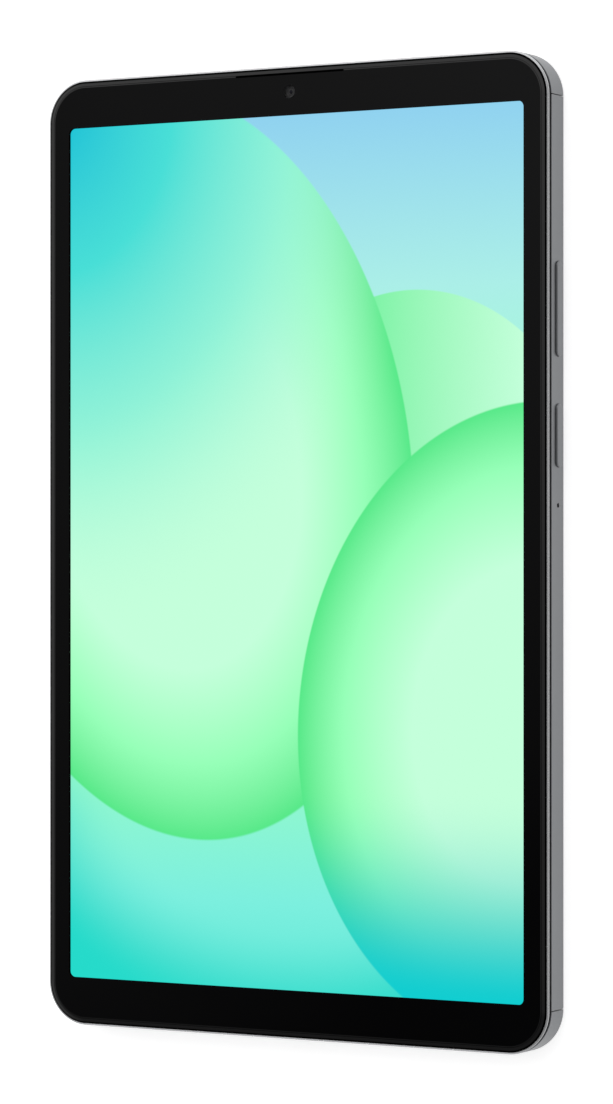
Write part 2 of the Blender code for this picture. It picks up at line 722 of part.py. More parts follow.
def card_reader():
    """Memory and SIM card tray, its socket on the board, and the push-rod ejector."""
    face = rounded_rectangle(
        TRAY_FACE_LENGTH, TRAY_FACE_HEIGHT, TRAY_FACE_HEIGHT / 2 - 1e-5,
        (TRAY_FACE_Y, SIDE_Z),
    )
    tray = slab(
        "card_tray", face, -HALF_WIDTH, -INNER_WALL + 0.0003, "X", look=ALUMINIUM,
        edge=0.00015,
    )
    join(
        tray,
        box(
            "card_frame", (-INNER_WALL, CARD_Y_LOW, CARD_Z_LOW),
            (CARD_END_X, CARD_Y_HIGH, CARD_Z_HIGH),
        ),
    )
    cut(
        tray,
        box("sim_pocket", (-0.0589, 0.0638, 0.0030), (-0.0500, 0.0762, 0.0050)),
        box("memory_pocket", (-0.0493, 0.0640, 0.0030), (-0.0390, 0.0760, 0.0050)),
        box("card_window", (-0.0475, 0.0655, 0.0020), (-0.0405, 0.0745, 0.0050)),
        cylinder("pin_hole", (ROD_Y, SIDE_Z), 0.00055, -0.0640, -0.0600, "X", sides=16),
    )
    bake_origin(tray, (-HALF_WIDTH, TRAY_FACE_Y, SIDE_Z))

    socket = box(
        "card_socket", (-0.0565, 0.0616, PART_LOW), (-0.0330, 0.0820, 0.0046), STEEL
    )
    cut(socket, box("card_cavity", (-0.0575, 0.0619, 0.00235), (-0.0333, 0.0817, 0.0044)))
    pin = cylinder("lever_pin", (LEVER_X, LEVER_Y), 0.0004, 0.0022, 0.0042, sides=12)
    join(socket, pin)

    rod = box(
        "eject_rod", (ROD_START_X, ROD_Y - 0.0005, SIDE_Z - 0.0004),
        (ROD_END_X, ROD_Y + 0.0005, SIDE_Z + 0.0004), STEEL,
    )
    place_origin(rod, (ROD_START_X, ROD_Y, SIDE_Z))

    bar = rounded_rectangle(0.0010, 2 * LEVER_REACH, 0.00049, steps=3)
    lever = slab("eject_lever", bar, 0.0029, 0.0035, look=STEEL)
    hub = cylinder("lever_hub", (0.0, 0.0), 0.0009, 0.0029, 0.0035, sides=20)
    join(lever, hub)
    cut(lever, cylinder("lever_bore", (0.0, 0.0), 0.00055, 0.0020, 0.0045, sides=16))
    bake_origin(lever, (0.0, 0.0, SIDE_Z))
    lever.location = (LEVER_X, LEVER_Y, SIDE_Z)
    lever.rotation_euler.z = LEVER_ANGLE


def screws():
    """Six M1.4 screws, driven from the back through the boards into the mid frame."""
    profile = [
        (0.0, 0.0036), (0.0006, 0.0036), (0.0006, 0.00125), (0.0013, 0.00125),
        (0.0013, 0.00087), (0.0005, 0.00087), (0.0004, 0.00107), (0.0, 0.00107),
    ]
    for name, centre in SCREW_PLACES.items():
        turned(name, profile, centre, STEEL, steps=16)


rear_shell()
antenna_caps()
mid_frame()
front_rim()
cover_glass()
display_module()
flexes()
battery()
main_board()
usb_port()
headphone_jack()
loudspeakers()
rear_camera()
front_camera()
keys()
card_reader()
screws()
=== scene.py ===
import math

import bmesh
import bpy
import numpy as np
from mathutils import Euler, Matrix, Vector


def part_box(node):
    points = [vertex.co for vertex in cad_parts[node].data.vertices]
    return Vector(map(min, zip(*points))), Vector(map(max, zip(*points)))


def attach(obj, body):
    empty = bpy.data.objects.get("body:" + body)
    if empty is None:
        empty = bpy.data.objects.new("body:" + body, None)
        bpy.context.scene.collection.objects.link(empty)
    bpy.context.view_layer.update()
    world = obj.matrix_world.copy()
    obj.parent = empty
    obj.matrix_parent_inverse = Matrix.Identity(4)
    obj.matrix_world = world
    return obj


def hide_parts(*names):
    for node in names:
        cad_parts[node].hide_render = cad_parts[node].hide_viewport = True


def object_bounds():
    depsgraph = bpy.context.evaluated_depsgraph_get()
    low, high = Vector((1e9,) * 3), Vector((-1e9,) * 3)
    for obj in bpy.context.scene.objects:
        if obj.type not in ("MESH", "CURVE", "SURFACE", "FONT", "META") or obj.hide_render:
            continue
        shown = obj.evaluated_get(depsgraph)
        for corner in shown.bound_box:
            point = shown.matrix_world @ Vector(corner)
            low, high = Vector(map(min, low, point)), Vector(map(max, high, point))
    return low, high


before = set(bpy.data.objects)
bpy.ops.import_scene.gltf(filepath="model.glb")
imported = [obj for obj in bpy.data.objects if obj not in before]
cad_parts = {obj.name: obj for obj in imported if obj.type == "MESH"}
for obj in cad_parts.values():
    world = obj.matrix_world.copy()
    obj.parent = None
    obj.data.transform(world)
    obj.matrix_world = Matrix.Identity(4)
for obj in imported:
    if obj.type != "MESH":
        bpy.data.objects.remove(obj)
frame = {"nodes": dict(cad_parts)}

# The solids' own box, kept before any piece is added.
cad_low, cad_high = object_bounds()
nodes = frame["nodes"]


# Camera
# It looks down at the screen from the side with the keys, a little under a metre away and
# level with the middle of the long side, so that the sides stay upright in the view.
LEAN = math.radians(29.93)
DISTANCE = 0.8665

camera_data = bpy.data.cameras.new("camera")
camera_data.sensor_fit = "VERTICAL"
camera_data.sensor_height = 36
camera_data.lens = 130.4
camera_data.shift_x = 0.0156
camera = bpy.data.objects.new("camera", camera_data)
aim = Vector((0, 0.00012, cad_high.z))
camera.location = aim + DISTANCE * Vector((math.sin(LEAN), 0, math.cos(LEAN)))
camera.rotation_euler = Euler((0, LEAN, 0))
bpy.context.scene.collection.objects.link(camera)
bpy.context.scene.camera = camera


# Studio
# A sheet of white paper, lit from below as well, under a dome that is white all round, grey
# overhead and a little darker on the side with the keys. The part of the dome that the glass
# mirrors at the camera is a dark cloth, paler towards the top end.
FLOOR_HALF = 6.0
FLOOR_DROP = 0.00004


class Value:
    """A shader socket; arithmetic on it adds Math nodes."""

    def __init__(self, nodes, socket):
        self.nodes = nodes
        self.socket = socket

    def math(self, operation, *others):
        inputs = dict(enumerate((self, *others)))
        return self.nodes.add("Math", {"operation": operation}, inputs)

    def __add__(self, other):
        return self.math("ADD", other)

    def __mul__(self, other):
        return self.math("MULTIPLY", other)

    def __sub__(self, other):
        return self.math("SUBTRACT", other)

    def __rsub__(self, other):
        return self.math("MULTIPLY_ADD", -1.0, other)

    def __truediv__(self, other):
        return self.math("DIVIDE", other)

    __radd__ = __add__
    __rmul__ = __mul__

    def ramp(self, low, high):
        """0 up to low and 1 from high on, with a smooth rise between."""
        span = {"interpolation_type": "SMOOTHSTEP"}
        inputs = {"Value": self, "From Min": low, "From Max": high}
        return self.nodes.add("MapRange", span, inputs)

    def within(self, low, high, soft):
        """1 between low and high, falling to 0 over a soft margin outside them."""
        return self.ramp(low - soft, low) * self.ramp(high + soft, high)

    def repeated(self, pitch):
        """The place within each repeat of a pitch, from 0 to 1."""
        return (self / pitch).math("FRACT")


class Nodes:
    """A node tree whose nodes are added by kind, settings and inputs."""

    def __init__(self, tree, coordinates):
        self.tree = tree
        self.place = self.add("TexCoord", output=coordinates)

    def add(self, kind, settings=None, inputs=None, output=0):
        node = self.tree.nodes.new("ShaderNode" + kind)
        settings = dict(settings or {})
        stops = settings.pop("stops", [])
        for key, value in settings.items():
            setattr(node, key, value)
        while len(stops) > 2 and len(node.color_ramp.elements) < len(stops):
            node.color_ramp.elements.new(0.5)
        for index, (at, colour) in enumerate(stops):
            node.color_ramp.elements[index].position = at
            node.color_ramp.elements[index].color = (*colour, 1.0)
        for key, value in (inputs or {}).items():
            self.join(node.inputs[key], value)
        return Value(self, node.outputs[output])

    def join(self, slot, value):
        if isinstance(value, Value):
            self.tree.links.new(value.socket, slot)
        elif isinstance(value, tuple) and len(slot.default_value) == 4:
            slot.default_value = (*value, 1.0)
        else:
            slot.default_value = value

    def axes(self):
        """The three parts of the place, in metres on a piece."""
        return [self.add("SeparateXYZ", None, {0: self.place}, part) for part in range(3)]

    def mix(self, share, first, second):
        inputs = {0: share, 6: first, 7: second}
        return self.add("Mix", {"data_type": "RGBA"}, inputs, 2)

    def noise(self, size, detail=2.0, stretch=(1.0, 1.0, 1.0)):
        """Soft noise from 0 to 1 whose blotches are about size across, or longer along an
        axis whose stretch is below 1."""
        place = self.add("Mapping", None, {"Vector": self.place, "Scale": stretch})
        inputs = {"Vector": place, "Scale": 1 / size, "Detail": detail}
        return self.add("TexNoise", None, inputs)

    def cells(self, size):
        """Distance from the middle of the nearest of many cells, each about size across."""
        inputs = {"Vector": self.place, "Scale": 1 / size}
        return self.add("TexVoronoi", None, inputs)


class Finish(Nodes):
    """A piece's material, on the piece's own coordinates."""

    def __init__(self, name, **sockets):
        self.material = bpy.data.materials.new(name)
        self.material.use_nodes = True
        super().__init__(self.material.node_tree, "Object")
        self.shader = self.tree.nodes["Principled BSDF"]
        self.feed(**sockets)

    def feed(self, **sockets):
        for key, value in sockets.items():
            label = key.replace("_", " ").title().replace("Ior", "IOR")
            self.join(self.shader.inputs[label], value)

    def bump(self, height, depth):
        """Relief of that depth in metres where height goes from 0 to 1."""
        inputs = {"Height": height, "Distance": depth, "Strength": 1.0}
        self.feed(normal=self.add("Bump", None, inputs))


corners = [(-1, -1), (1, -1), (1, 1), (-1, 1)]
floor_mesh = bpy.data.meshes.new("floor")
floor_mesh.from_pydata(
    [(x * FLOOR_HALF, y * FLOOR_HALF, -FLOOR_DROP) for x, y in corners], [], [range(4)]
)
floor = bpy.data.objects.new("floor", floor_mesh)
bpy.context.scene.collection.objects.link(floor)
paper = Finish("floor_paper", roughness=0.9, emission_strength=0.62)
paper.feed(base_color=paper.mix(paper.noise(0.4), (0.86, 0.86, 0.86), (0.89, 0.89, 0.89)))
paper.feed(emission_color=(1.0, 1.0, 1.0))
floor_mesh.materials.append(paper.material)

world = bpy.data.worlds.new("studio")
world.use_nodes = True
bpy.context.scene.world = world
dome = Nodes(world.node_tree, "Generated")
x, y, z = dome.axes()
cloth = (z * math.cos(LEAN) - x * math.sin(LEAN)).ramp(0.950, 0.984)
overhead = z.ramp(0.38, 0.78)
key_side = x.ramp(0.10, 0.50)
ring = y * 0.30 + 1.10 - key_side * 0.35
roof = (y * 2.6 + 0.64).math("MAXIMUM", 0.22).math("MINIMUM", 1.1)
roof = roof * (1 - key_side) + key_side * 0.36
white = ring * (1 - overhead) + roof * overhead
dark = (y * (x * 7.0 + 4.25) + 0.105).math("MAXIMUM", 0.005)
strength = white * (1 - cloth) + dark * cloth
background = dome.tree.nodes["Background"]
background.inputs["Color"].default_value = (1.0, 1.0, 1.0, 1.0)
dome.join(background.inputs["Strength"], strength)
bpy.context.scene.view_settings.view_transform = "Standard"


# Rear housing
# An aluminium channel, bead-blasted and anodised grey, closed at each end by a painted
# plastic cap that lets radio through. The three meet at hairline joints on the sides.
BODY_HALF = (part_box("front_rim")[1].x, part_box("front_rim")[1].y)
CORNER = 0.0095
BACK_ROUND = 0.0008
TOP_ROUND = 0.00012
WALL = 0.0012
BACK = 0.0008
CORNER_STEPS = 28


def softened(corners, closed=False, steps=6):
    """A profile with round corners. Each corner (a, b, r) becomes an arc of radius r that
    touches both neighbouring sides: centre plus the turn from one touching point to the
    other, taken in equal angles."""
    points = []
    count = len(corners)
    for index, (a, b, radius) in enumerate(corners):
        here = np.array([a, b])
        if radius == 0 or (not closed and index in (0, count - 1)):
            points.append(here[None])
            continue
        sides = []
        for step in (-1, 1):
            other = np.array(corners[(index + step) % count][:2])
            sides.append((other - here) / np.linalg.norm(other - here))
        half = math.acos(np.clip(sides[0] @ sides[1], -1, 1)) / 2
        middle = sides[0] + sides[1]
        centre = here + middle / np.linalg.norm(middle) * radius / math.sin(half)
        start, end = (here + side * radius / math.tan(half) - centre for side in sides)
        swing = math.pi - 2 * half
        share = np.linspace(0, 1, steps + 1)[:, None]
        arc = np.sin((1 - share) * swing) * start + np.sin(share * swing) * end
        points.append(centre + arc / math.sin(swing))
    return np.concatenate(points)


def carried(name, half_a, half_b, radius, profile, turn="z", centre=(0, 0), closed=False):
    """A profile carried round a rounded rectangle. A point is the centre of its corner,
    plus the corner's radius and the profile's first number along the outward direction,
    at the height of the profile's second number. The turn says which axis is height."""
    angles = np.linspace(0, math.pi / 2, CORNER_STEPS + 1)
    angles = np.concatenate([angles + quarter * math.pi / 2 for quarter in range(4)])
    quarter = np.repeat(np.arange(4), CORNER_STEPS + 1)
    side_a = np.where((quarter == 0) | (quarter == 3), 1, -1) * (half_a - radius)
    side_b = np.where(quarter < 2, 1, -1) * (half_b - radius)
    reach = radius + profile[:, :1]
    a = centre[0] + side_a + reach * np.cos(angles)
    b = centre[1] + side_b + reach * np.sin(angles)
    height = np.broadcast_to(profile[:, 1:], a.shape)
    order = {"z": (a, b, height), "x": (height, a, b), "y": (b, height, a)}[turn]
    rows, around = a.shape
    return gridded(name, np.stack(order, -1), rows, around, closed)


def gridded(name, points, rows, around, closed):
    """A mesh from rows of points, each row a loop. The last row joins the first when
    closed, and otherwise the first and last rows are filled."""
    index = np.arange(rows * around).reshape(rows, around)
    lower = index if closed else index[:-1]
    upper = np.roll(index, -1, 0) if closed else index[1:]
    quads = np.stack([lower, np.roll(lower, -1, 1), np.roll(upper, -1, 1), upper], -1)
    faces = quads.reshape(-1, 4).tolist()
    if not closed:
        faces += [index[0, ::-1].tolist(), index[-1].tolist()]
    mesh = bpy.data.meshes.new(name)
    mesh.from_pydata(points.reshape(-1, 3).tolist(), [], faces)
    shape = bmesh.new()
    shape.from_mesh(mesh)
    bmesh.ops.remove_doubles(shape, verts=shape.verts, dist=1e-7)
    bmesh.ops.recalc_face_normals(shape, faces=shape.faces)
    if shape.calc_volume(signed=True) < 0:
        bmesh.ops.reverse_faces(shape, faces=shape.faces)
    shape.to_mesh(mesh)
    shape.free()
    obj = bpy.data.objects.new(name, mesh)
    bpy.context.scene.collection.objects.link(obj)
    return obj


def carved(obj, cutters):
    """The piece with the cutters taken out of it, and the cutters removed."""
    for cutter in cutters:
        modifier = obj.modifiers.new("cut", "BOOLEAN")
        modifier.operation = "DIFFERENCE"
        modifier.object = cutter
    bpy.context.view_layer.update()
    graph = bpy.context.evaluated_depsgraph_get()
    obj.data = bpy.data.meshes.new_from_object(obj.evaluated_get(graph))
    obj.modifiers.clear()
    for cutter in cutters:
        bpy.data.objects.remove(cutter)
    return obj


def between(obj, low, high):
    """Only the stretch of a piece with Y from low to high, its cut ends closed."""
    shape = bmesh.new()
    shape.from_mesh(obj.data)
    for at, side in ((low, -1), (high, 1)):
        parts = shape.verts[:] + shape.edges[:] + shape.faces[:]
        cut = bmesh.ops.bisect_plane(
            shape, geom=parts, plane_co=(0, at, 0), plane_no=(0, side, 0), clear_outer=True
        )
        rim = [part for part in cut["geom_cut"] if isinstance(part, bmesh.types.BMEdge)]
        if rim:
            bmesh.ops.contextual_create(shape, geom=rim)
    bmesh.ops.recalc_face_normals(shape, faces=shape.faces)
    shape.to_mesh(obj.data)
    shape.free()
    return obj


def placed(obj, finish, node, body="tablet", sharp=30):
    """Gives a finished piece its material, smooth shading and body, and hides the CAD node it
    stands for.
    """
    obj.data.name = obj.name
    obj.data.materials.clear()
    obj.data.materials.append(finish.material)
    obj.data.shade_smooth()
    obj.data.set_sharp_from_angle(angle=math.radians(sharp))
    weighted = obj.modifiers.new("even_shading", "WEIGHTED_NORMAL")
    weighted.keep_sharp = True
    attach(obj, body)
    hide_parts(node)


def housing(name):
    """The whole housing as one open box: outside wall and back, then the inside."""
    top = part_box("rear_shell")[1].z
    profile = softened(
        [
            (-CORNER + 0.0004, 0.0, 0),
            (0.0, 0.0, BACK_ROUND),
            (0.0, top, TOP_ROUND),
            (-WALL, top, TOP_ROUND),
            (-WALL, BACK, 0.0004),
            (-CORNER + 0.0004, BACK, 0),
        ]
    )
    return carried(name, *BODY_HALF, CORNER, profile)


def pill(name, half_a, half_b, low, high, turn, centre):
    """A plain bar with round ends, to cut a slot with."""
    radius = min(half_a, half_b) * 0.999
    profile = np.array([(0.0, low), (0.0, high)])
    return carried(name, half_a, half_b, radius, profile, turn, centre)


def drilled(name, radius, low, high, turn, centre):
    return pill(name, radius, radius, low, high, turn, centre)


def anodised(name, colour):
    """Grey anodised metal: fine blasted grain, faint cloudiness and a slightly uneven sheen."""
    finish = Finish(name, metallic=0.9)
    cloud = finish.noise(0.03, 3.0)
    light = tuple(part * 1.05 for part in colour)
    dark = tuple(part * 0.95 for part in colour)
    finish.feed(base_color=finish.mix(cloud, dark, light))
    finish.feed(roughness=finish.noise(0.0004) * 0.08 + 0.34)
    finish.bump(finish.noise(0.00018, 1.0), 0.000004)
    return finish


SIDE_Z = (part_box("volume_key")[0].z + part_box("volume_key")[1].z) / 2
KEY_FLANGE = 0.0006
KEY_HALF = 0.00115
KEY_GAP = 0.0001
HOLE_RADIUS = 0.0005
CAMERA_HOLE_RADIUS = 0.0045
JACK_HOLE_RADIUS = 0.00185
PORT_GAP = 0.00015
SOUND_SLOTS = 6
SOUND_SLOT_HALF = (0.0011, 0.00055)
SOUND_SLOT_PITCH = 0.0022
END_MICROPHONE_X = -0.018
shell_low, shell_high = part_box("rear_shell")
outside = BODY_HALF[0] + 0.001
inside = BODY_HALF[0] - 0.002
shell_grey = (0.200, 0.206, 0.215)

shell = between(housing("rear_housing"), shell_low.y, shell_high.y)
cutters = []
for key in ("volume_key", "power_key"):
    low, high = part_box(key)
    half = (high.y - low.y) / 2 - KEY_FLANGE + KEY_GAP
    middle = ((low.y + high.y) / 2, SIDE_Z)
    cutters.append(pill("slot", half, KEY_HALF + KEY_GAP, inside, outside, "x", middle))
tray_low, tray_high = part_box("card_tray")
tray_middle = ((tray_low.y + tray_high.y) / 2, SIDE_Z)
tray_half = (tray_high.y - tray_low.y) / 2 + KEY_GAP
cutters.append(
    pill("slot", tray_half, KEY_HALF, -outside, -inside, "x", tray_middle)
)
mic_low, mic_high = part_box("side_microphone")
mic_middle = ((mic_low.y + mic_high.y) / 2, SIDE_Z)
cutters.append(drilled("hole", HOLE_RADIUS, inside, outside, "x", mic_middle))
window_low, window_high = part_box("rear_camera_window")
window_middle = tuple((window_low.xy + window_high.xy) / 2)
cutters.append(drilled("hole", CAMERA_HOLE_RADIUS, -0.001, 0.002, "z", window_middle))
placed(carved(shell, cutters), anodised("anodised_grey", shell_grey), "rear_shell")

end = BODY_HALF[1] + 0.001
deep = BODY_HALF[1] - 0.002
cap_paint = anodised("cap_paint", shell_grey)
for side, name in ((1, "antenna_cap_top"), (-1, "antenna_cap_bottom")):
    low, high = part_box(name)
    cap = between(housing(name + "_shell"), low.y, high.y)
    span = sorted((side * deep, side * end))
    cutters = []
    speaker = "speaker_top" if side > 0 else "speaker_bottom"
    box_low, box_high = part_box(speaker)
    for index in range(SOUND_SLOTS):
        from_middle = (index - (SOUND_SLOTS - 1) / 2) * SOUND_SLOT_PITCH
        x = (box_low.x + box_high.x) / 2 + from_middle
        cutters.append(pill("slot", *SOUND_SLOT_HALF, *span, "y", (SIDE_Z, x)))
    cutters.append(drilled("hole", HOLE_RADIUS, *span, "y", (SIDE_Z, END_MICROPHONE_X)))
    port = "headphone_jack" if side > 0 else "usb_shell"
    box_low, box_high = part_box(port)
    middle = ((box_low.z + box_high.z) / 2, (box_low.x + box_high.x) / 2)
    if side > 0:
        cutters.append(drilled("hole", JACK_HOLE_RADIUS, *span, "y", middle))
    else:
        half_high = (box_high.z - box_low.z) / 2 + PORT_GAP
        half_wide = (box_high.x - box_low.x) / 2 + PORT_GAP
        cutters.append(pill("slot", half_high, half_wide, *span, "y", middle))
    placed(carved(cap, cutters), cap_paint, name)


# Front rim
# A thin frame of satin grey metal round the glass, snapped on the mid frame. It slants down
# outwards and its lower edge is rounded. Its inner face is painted pure black with no
# reflection, as painted shade in the gap beside the glass.
def outside_of(x, y, half, radius):
    """Distance in metres outside a rounded rectangle, negative inside."""
    from_x = (x.math("ABSOLUTE") - (half[0] - radius)).math("MAXIMUM", 0.0)
    from_y = (y.math("ABSOLUTE") - (half[1] - radius)).math("MAXIMUM", 0.0)
    return (from_x * from_x + from_y * from_y).math("SQRT") - radius


LIP = 0.00040
SLANT = 0.00021
FLANGE_REACH = 0.0022
rim_low, rim_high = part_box("front_rim")
flange = rim_low.z + 0.00015
rim_profile = softened(
    [
        (0.0, rim_low.z, 0.00028),
        (0.0, rim_high.z - SLANT, 0.00008),
        (-LIP, rim_high.z, 0.00004),
        (-LIP, flange, 0),
        (-FLANGE_REACH, flange, 0),
        (-FLANGE_REACH, rim_low.z, 0),
    ],
    closed=True,
)
rim = carried("front_rim_frame", *BODY_HALF, CORNER, rim_profile, closed=True)
rim_paint = Finish("rim_paint")
x, y, z = rim_paint.axes()
# Inward of the lip the rim is painted pure black and fully metallic, which gives no reflection:
# painted shade for the gap beside the glass.
clear_of_painted_shade = outside_of(x, y, BODY_HALF, CORNER).ramp(-LIP, -LIP + 0.00002)
rim_tone = rim_paint.mix(rim_paint.noise(0.02), (0.53, 0.535, 0.545), (0.58, 0.585, 0.595))
rim_paint.feed(base_color=rim_paint.mix(clear_of_painted_shade, (0.002, 0.002, 0.002), rim_tone))
rim_paint.feed(metallic=1 - clear_of_painted_shade * 0.15, roughness=rim_paint.noise(0.001) * 0.08 + 0.22)
placed(rim, rim_paint, "front_rim")


# Mid frame
# Glass-filled black plastic moulding; only its edge shows, as a dark band below the rim.
def clad(finish, *names):
    """Gives CAD solids that stay as they are their finish."""
    for name in names:
        slots = nodes[name].data.materials
        slots.clear()
        slots.append(finish.material)


def moulded(name, dark, light, grain=0.0002):
    """Moulded plastic: a fine spark-eroded grain, with slight clouds in colour and gloss."""
    finish = Finish(name, specular_ior_level=0.3)
    finish.feed(base_color=finish.mix(finish.noise(0.004), dark, light))
    finish.feed(roughness=finish.noise(0.0006) * 0.15 + 0.45)
    finish.bump(finish.noise(grain), 0.000004)
    return finish


clad(moulded("mid_frame_black", (0.012, 0.012, 0.013), (0.020, 0.020, 0.021)), "mid_frame")


# Cover glass
# Strengthened glass printed black, except over the picture and thinly over the front camera.
# Its edge is ground in three steps: a slope outside, a narrow flat and a fine crease. A slit
# near the top lets sound out, and black foam tape holds the glass down.
ACTIVE_HALF = (0.05674, 0.09487)
ACTIVE_CORNER = 0.0013
ACTIVE_MIDDLE = (-0.0001, -0.00006)
SLOPE = 0.00086
SLOPE_DROP = 0.00016
CREASE = 0.00118
CREASE_DROP = 0.00003
CREASE_WIDTH = 0.00020
FLAT_EDGE = -0.006
GLASS_PLAY = 0.00008
SLIT_HALF = (0.0135, 0.000225)
CLEAR_RADIUS = 0.00142
glass_low, glass_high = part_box("cover_glass")
glass_half = (glass_high.x - GLASS_PLAY, glass_high.y - GLASS_PLAY)
glass_corner = CORNER - (BODY_HALF[0] - glass_half[0])
ground = glass_high.z - CREASE_DROP
glass_profile = softened(
    [
        (FLAT_EDGE, glass_high.z, 0),
        (-CREASE, glass_high.z, 0.0002),
        (-CREASE + CREASE_WIDTH, ground, 0.0002),
        (-SLOPE, ground, 0.0003),
        (-0.00003, ground - SLOPE_DROP, 0.00005),
        (0.0, glass_low.z, 0.00004),
        (FLAT_EDGE, glass_low.z, 0),
    ],
    steps=5,
)
glass = carried("cover_glass_pane", *glass_half, glass_corner, glass_profile)
mesh_low, mesh_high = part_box("receiver_mesh")
slit_middle = (0.0, (mesh_low.y + mesh_high.y) / 2 - 0.00006)
through = (glass_low.z - 0.001, glass_high.z + 0.001)
slit = pill("slit", *SLIT_HALF, *through, "z", slit_middle)
carved(glass, [slit])

black_glass = Finish("printed_glass", roughness=0.03, specular_ior_level=0.42)
x, y, z = black_glass.axes()


def from_point(x, y, centre):
    """Distance in metres from a point of the plane."""
    across = x - centre[0]
    along = y - centre[1]
    return (across * across + along * along).math("SQRT")


lens_low, lens_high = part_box("front_camera_lens")
lens_middle = tuple((lens_low.xy + lens_high.xy) / 2)
printed = outside_of(x - ACTIVE_MIDDLE[0], y - ACTIVE_MIDDLE[1], ACTIVE_HALF, ACTIVE_CORNER)
printed = printed.ramp(-0.00003, 0.00003)
under = z.ramp(glass_high.z - 0.0003, glass_low.z + 0.0001)
eye = from_point(x, y, lens_middle) - under * 0.0006
eye = eye.ramp(CLEAR_RADIUS - 0.00008, CLEAR_RADIUS)
black_glass.feed(alpha=printed * (0.15 + 0.85 * eye))
ink = black_glass.mix(black_glass.noise(0.03), (0.0018, 0.0018, 0.0020), (0.0026, 0.0026, 0.0028))
inward = 0 - outside_of(x, y, glass_half, glass_corner)
# The outer fifth of a millimetre of the glass is painted pure black and fully metallic, so it gives
# no reflection: painted shade for the gap between the glass and the rim.
glass_edge_painted_shade = inward.ramp(0.00025, 0.00019)
black_glass.feed(base_color=black_glass.mix(glass_edge_painted_shade, ink, (0.0, 0.0, 0.0)), metallic=glass_edge_painted_shade)
placed(glass, black_glass, "cover_glass", sharp=50)

foam = Finish("foam_tape", roughness=0.95, specular_ior_level=0.05)
pores = foam.cells(0.00015)
foam.feed(base_color=foam.mix(pores, (0.002, 0.002, 0.002), (0.008, 0.008, 0.008)))
foam.bump(pores, 0.00001)
clad(foam, "glass_adhesive")


# Screen
# The liquid crystal cell, lit from behind, shows a plain picture of large soft discs in
# mint, aqua and sky blue. The picture is a pattern worked out from the place on the cell.
def display_colour(red, green, blue):
    """Linear light of a colour given in 0 to 255 steps."""
    steps = np.array([red, green, blue]) / 255
    return tuple(np.where(steps < 0.04045, steps / 12.92, ((steps + 0.055) / 1.055) ** 2.4))


screen = Finish("lit_screen", roughness=0.05, base_color=(0.0, 0.0, 0.0), specular_ior_level=0.35)
x, y, z = screen.axes()
sky_blue = display_colour(143, 209, 239)
pale_blue = display_colour(170, 238, 231)
mint = display_colour(196, 255, 219)
light_green = display_colour(150, 255, 184)
leaf_green = display_colour(86, 232, 136)
aqua = display_colour(124, 239, 222)
turquoise = display_colour(36, 218, 202)
deep_cyan = display_colour(8, 190, 214)


def disc(centre, radii, lean=0.0):
    """How far out a point lies in an oval: 0 at its centre and 1 on its edge."""
    across, along = x - centre[0], y - centre[1]
    turned_x = across * math.cos(lean) + along * math.sin(lean)
    turned_y = along * math.cos(lean) - across * math.sin(lean)
    a, b = turned_x / radii[0], turned_y / radii[1]
    return (a * a + b * b).math("SQRT")


def laid(under, over, out):
    """A disc's colour laid over what is under it, with a crisp edge."""
    return screen.mix(out.ramp(1.004, 0.996), under, over)


def blended(share, stops):
    ramp = {"stops": stops}
    return screen.add("ValToRGB", ramp, {"Fac": share})


height = y / (2 * ACTIVE_HALF[1]) + 0.5
backdrop = blended(
    height,
    [
        (0.0, display_colour(96, 232, 216)),
        (0.10, aqua),
        (0.27, display_colour(150, 250, 200)),
        (0.55, display_colour(160, 255, 200)),
        (0.80, pale_blue),
        (1.0, sky_blue),
    ],
)
low_edge = disc((0.0, -0.045), (0.075, 0.058)).ramp(0.62, 1.05)
backdrop = screen.mix(low_edge * (0.30 - height).ramp(0.0, 0.12), backdrop, turquoise)

back_out = disc((0.030, 0.006), (0.044, 0.050))
back_tone = blended(
    (x + 0.012) / 0.07,
    [(0.0, leaf_green), (0.35, display_colour(104, 240, 152)), (1.0, mint)],
)
picture = laid(backdrop, back_tone, back_out)

left_out = disc((-0.031, 0.020), (0.060, 0.084), math.radians(12))
left_tone = blended(left_out, [(0.0, mint), (0.55, mint), (0.80, light_green), (1.0, leaf_green)])
from_corner = disc((-0.060, 0.100), (0.100, 0.125))
corner_tone = blended(
    from_corner,
    [
        (0.0, deep_cyan),
        (0.30, display_colour(70, 222, 214)),
        (0.62, display_colour(150, 244, 215)),
        (1.0, mint),
    ],
)
left_tone = screen.mix(from_corner.ramp(1.0, 0.55), left_tone, corner_tone)
picture = laid(picture, left_tone, left_out)

right_out = disc((0.058, -0.036), (0.056, 0.068), math.radians(-8))
right_tone = blended(right_out, [(0.0, mint), (0.50, mint), (0.80, light_green), (1.0, leaf_green)])
right_low = (0.0 - y).ramp(0.050, 0.096)
right_tone = screen.mix(right_low, right_tone, display_colour(16, 205, 208))
picture = laid(picture, right_tone, right_out)

lit = outside_of(x, y, ACTIVE_HALF, ACTIVE_CORNER).ramp(0.0010, 0.0009)
screen.feed(emission_color=screen.mix(lit, (0.0, 0.0, 0.0), picture), emission_strength=1.0)
clad(screen, "display_cell")


